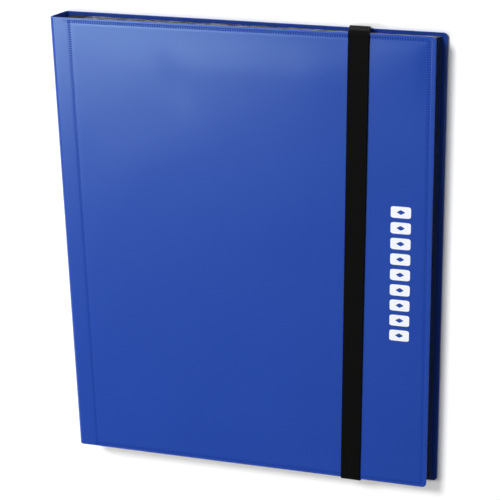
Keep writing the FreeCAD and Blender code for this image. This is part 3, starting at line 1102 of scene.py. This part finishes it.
def build_strap():
    """The band as one closed sheet between its outer and inner faces.

    Half its thickness is sqrt(edge^2 - into^2) at the rounded edges, less ribs of (1 - cos) / 2, and
    it is pinched where it is tucked into the slots.
    """
    path = strap_path(9)
    edge = STRAP_PLY / 2
    rib_lines = np.linspace(-1, 1, STRAP_RIBS * 6 + 1) * (strap_width / 2 - edge)
    rounded = strap_width / 2 - edge + edge * np.sin(np.linspace(0, math.pi / 2, 6))[1:]
    across = np.concatenate([-rounded[::-1], rib_lines, rounded])
    into = np.clip(np.abs(across) - (strap_width / 2 - edge), 0, edge)
    rib_turn = 2 * math.pi * STRAP_RIBS * (across / (strap_width - 2 * edge) + 0.5)
    thick = np.sqrt(edge ** 2 - into ** 2) - RIB_DEPTH * (0.5 - 0.5 * np.cos(rib_turn))
    thick = np.clip(thick, 0.004 * MM, None)
    lean = STRAP_SKEW * path[:, 0] / path[:, 0].max() * np.minimum(path[:, 1], 1)
    x = strap_foot[0] + across[:, None] + lean
    rise = front_axis[1] + (x - front_axis[0]) * front_along[1] / front_along[0] - strap_foot[2]
    rise = rise + half_ply + STRAP_PLY / 2 + STRAP_AIR
    crown = fullness((x - front_axis[0]) / front_along[0], path[None, :, 0]) * (path[:, 3] > 0.99)
    height = strap_foot[2] + rise * path[:, 1] + crown
    lift = thick[:, None] * np.where(path[:, 1] < 0.05, TUCK_PINCH, 1.0)

    def face(way):
        level = path[:, 0] + way * lift * path[:, 2]
        return np.stack([x, level, height + way * lift * path[:, 3]], -1)

    length = np.concatenate([[0], np.cumsum(np.hypot(np.diff(path[:, 0]),
                                                     np.diff(path[:, 1]) * rise.mean()))])
    uv = np.stack(np.broadcast_arrays(across[:, None], length[None]), -1)
    strap = slab("strap_band", face(1), face(-1), elastic_black, uv)
    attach(strap, "strap")
    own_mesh(strap)
    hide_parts("strap")
    print(f"strap {length[-1] / MM:.0f} mm long, {strap_width / MM:.0f} mm wide")


build_strap()

# %% [markdown]
# ## The print
# A row of small cards is printed in white near the fore-edge: nine rounded shapes, each with a
# diamond left open in the middle. Screen ink lies on the plastic as a film of its own, a few
# hundredths of a millimetre thick, so each shape is a thin closed ring that follows the cover's face.

# %% Build the print
INK_PLY = 0.03 * MM
CARD_COUNT = 9
CARD_SIZE = np.array([13.0, 7.8]) * MM
CARD_PITCH = 10.75 * MM
DIAMOND_SIZE = np.array([5.4, 3.2]) * MM
PRINT_PLACE = np.array([cover_reach - 20 * MM, 154.4 * MM - half_height])


def rounded_outline(half, power, count):
    """A rounded rectangle as a superellipse, |x / a|^p + |y / b|^p = 1, from a turning angle."""
    angle = np.linspace(0, 2 * math.pi, count)
    cos, sin = np.cos(angle), np.sin(angle)
    return np.stack([half[0] * np.sign(cos) * np.abs(cos) ** (2 / power),
                     half[1] * np.sign(sin) * np.abs(sin) ** (2 / power)], -1)


def ink_ring(name, middle, outer, inner, material):
    """Closed ring of ink between two outlines on the front cover's face."""
    share = np.linspace(0, 1, 3)[None, :, None]
    flat = outer[:, None] * (1 - share) + inner[:, None] * share
    distance, level = middle[0] + flat[..., 0], middle[1] + flat[..., 1]
    lift = half_ply + fullness(distance, level)
    ring = slab(name, front_line.place(distance, level, lift + INK_PLY),
                front_line.place(distance, level, lift - INK_PLY), material)
    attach(ring, "front_cover")


ink = Finish("white_ink", (0.78, 0.80, 0.84), 0.42)
ink.bump(ink.noise(0.5 * MM, detail=3), 0.02 * MM, 0.5)
for card in range(CARD_COUNT):
    middle = PRINT_PLACE + [0, (card - (CARD_COUNT - 1) / 2) * CARD_PITCH]
    ink_ring(f"print_card_{card + 1}", middle, rounded_outline(CARD_SIZE / 2, 7, 65),
             rounded_outline(DIAMOND_SIZE / 2, 1.1, 65), ink.material)
print("printed cards:", CARD_COUNT)

# %% [markdown]
# ## Finishes for the CAD nodes that stay
# The boards and the strap's sewn ends are hidden between the plies, but the record can cut them open,
# so they get their own finishes: grey pulp board, and the same black elastic.

# %% Finish the hidden pieces
grey_board = Finish("grey_board", (0.28, 0.26, 0.23), 0.85)
grey_board.bump(grey_board.noise(0.6 * MM, detail=4), 0.05 * MM, 0.6)
hidden = {"front_board": grey_board.material, "back_board": grey_board.material,
          "spine_board": grey_board.material, "strap_end_head": elastic_black,
          "strap_end_tail": elastic_black}
for name, material in hidden.items():
    node = bpy.data.objects[name]
    node.data.materials.clear()
    node.data.materials.append(material)
print("hidden pieces finished:", len(hidden))

# %% [markdown]
# ## Floor, light and camera
# The binder lies on a white table. A soft panel hangs over its head end: its reflection gives the
# wide pale sheen there and lets the tail end stay deep blue. A lamp further off does most of the
# lighting and casts the short shadow, and a weak large panel opens the shadows of the head edge. The
# camera looks down from over the head end, turned so that the head is at the top.

# %% Stage
def soft_panel(name, aim, direction, distance, size, watts):
    """A rectangular light at a distance along a direction from its aim, facing it."""
    light = bpy.data.lights.new(name, "AREA")
    light.shape = "RECTANGLE"
    light.size, light.size_y = size
    light.energy = watts
    panel = bpy.data.objects.new(name, light)
    way = mathutils.Vector(direction).normalized()
    panel.location = mathutils.Vector(aim) + way * distance
    panel.rotation_euler = way.to_track_quat("Z", "X").to_euler()
    bpy.context.scene.collection.objects.link(panel)


def white_floor():
    """A flat square under the binder, in matt white."""
    half = 3.0
    points = np.array([[-half, -half, 0], [half, -half, 0], [half, half, 0], [-half, half, 0]])
    mesh = bpy.data.meshes.new("floor")
    mesh.from_pydata(points.tolist(), [], [[0, 1, 2, 3]])
    matt_white = Finish("matt_white", (0.96, 0.96, 0.96), 0.9, Specular_IOR_Level=0.0)
    mesh.materials.append(matt_white.material)
    floor = bpy.data.objects.new("floor", mesh)
    bpy.context.scene.collection.objects.link(floor)


def studio_walls(world):
    """White walls low down that fade to a dim ceiling: strength falls as the direction's Z rises."""
    world.use_nodes = True
    nodes, links = world.node_tree.nodes, world.node_tree.links
    height = nodes.new("ShaderNodeSeparateXYZ")
    fade = nodes.new("ShaderNodeMapRange")
    for socket, value in (("From Min", 0.12), ("From Max", 0.35), ("To Min", 0.9), ("To Max", 0.09)):
        fade.inputs[socket].default_value = value
    links.new(nodes.new("ShaderNodeTexCoord").outputs["Generated"], height.inputs["Vector"])
    links.new(height.outputs["Z"], fade.inputs["Value"])
    links.new(fade.outputs["Result"], nodes["Background"].inputs["Strength"])
    nodes["Background"].inputs["Color"].default_value = (1, 1, 1, 1)


def camera_at(aim, distance, azimuth, elevation, roll, lens):
    """A camera looking at a point; azimuth from -Y towards +X, and roll about its own axis."""
    azimuth, elevation, roll = (math.radians(angle) for angle in (azimuth, elevation, roll))
    way = np.array([math.sin(azimuth) * math.cos(elevation), -math.cos(azimuth) * math.cos(elevation),
                    math.sin(elevation)])
    level_right = np.cross(-way, [0, 0, 1])
    level_right /= np.linalg.norm(level_right)
    level_up = np.cross(level_right, -way)
    right = math.cos(roll) * level_right + math.sin(roll) * level_up
    up = math.cos(roll) * level_up - math.sin(roll) * level_right
    turn = mathutils.Matrix(np.stack([right, up, way], -1).tolist())
    camera = bpy.data.objects.new("camera", bpy.data.cameras.new("camera"))
    camera.data.lens = lens
    camera.matrix_world = mathutils.Matrix.Translation(np.array(aim) + way * distance) @ turn.to_4x4()
    bpy.context.scene.collection.objects.link(camera)
    bpy.context.scene.camera = camera


white_floor()
soft_panel("head_panel", (0, 0.05, 0), (-0.47, -0.07, 0.88), 1.5, (0.84, 0.35), 12)
soft_panel("side_lamp", (0, 0, 0), (-0.5, 0.56, 0.7), 2.8, (0.75, 0.75), 74)
soft_panel("fill_panel", (0, 0, 0), (0.35, 0.85, 0.5), 1.9, (1.2, 1.0), 2.5)
world = bpy.data.worlds.new("studio")
studio_walls(world)
bpy.context.scene.world = world
bpy.context.scene.view_settings.view_transform = "Standard"
camera_at(aim=(0.00165, 0.0039, 0.0094), distance=1.0497, azimuth=142.87, elevation=61.31,
          roll=-140.59, lens=114.48)
print("stage, lights and camera set")

# %% [markdown]
# ## The finished model
# The visual model may stand a little proud of the CAD one.
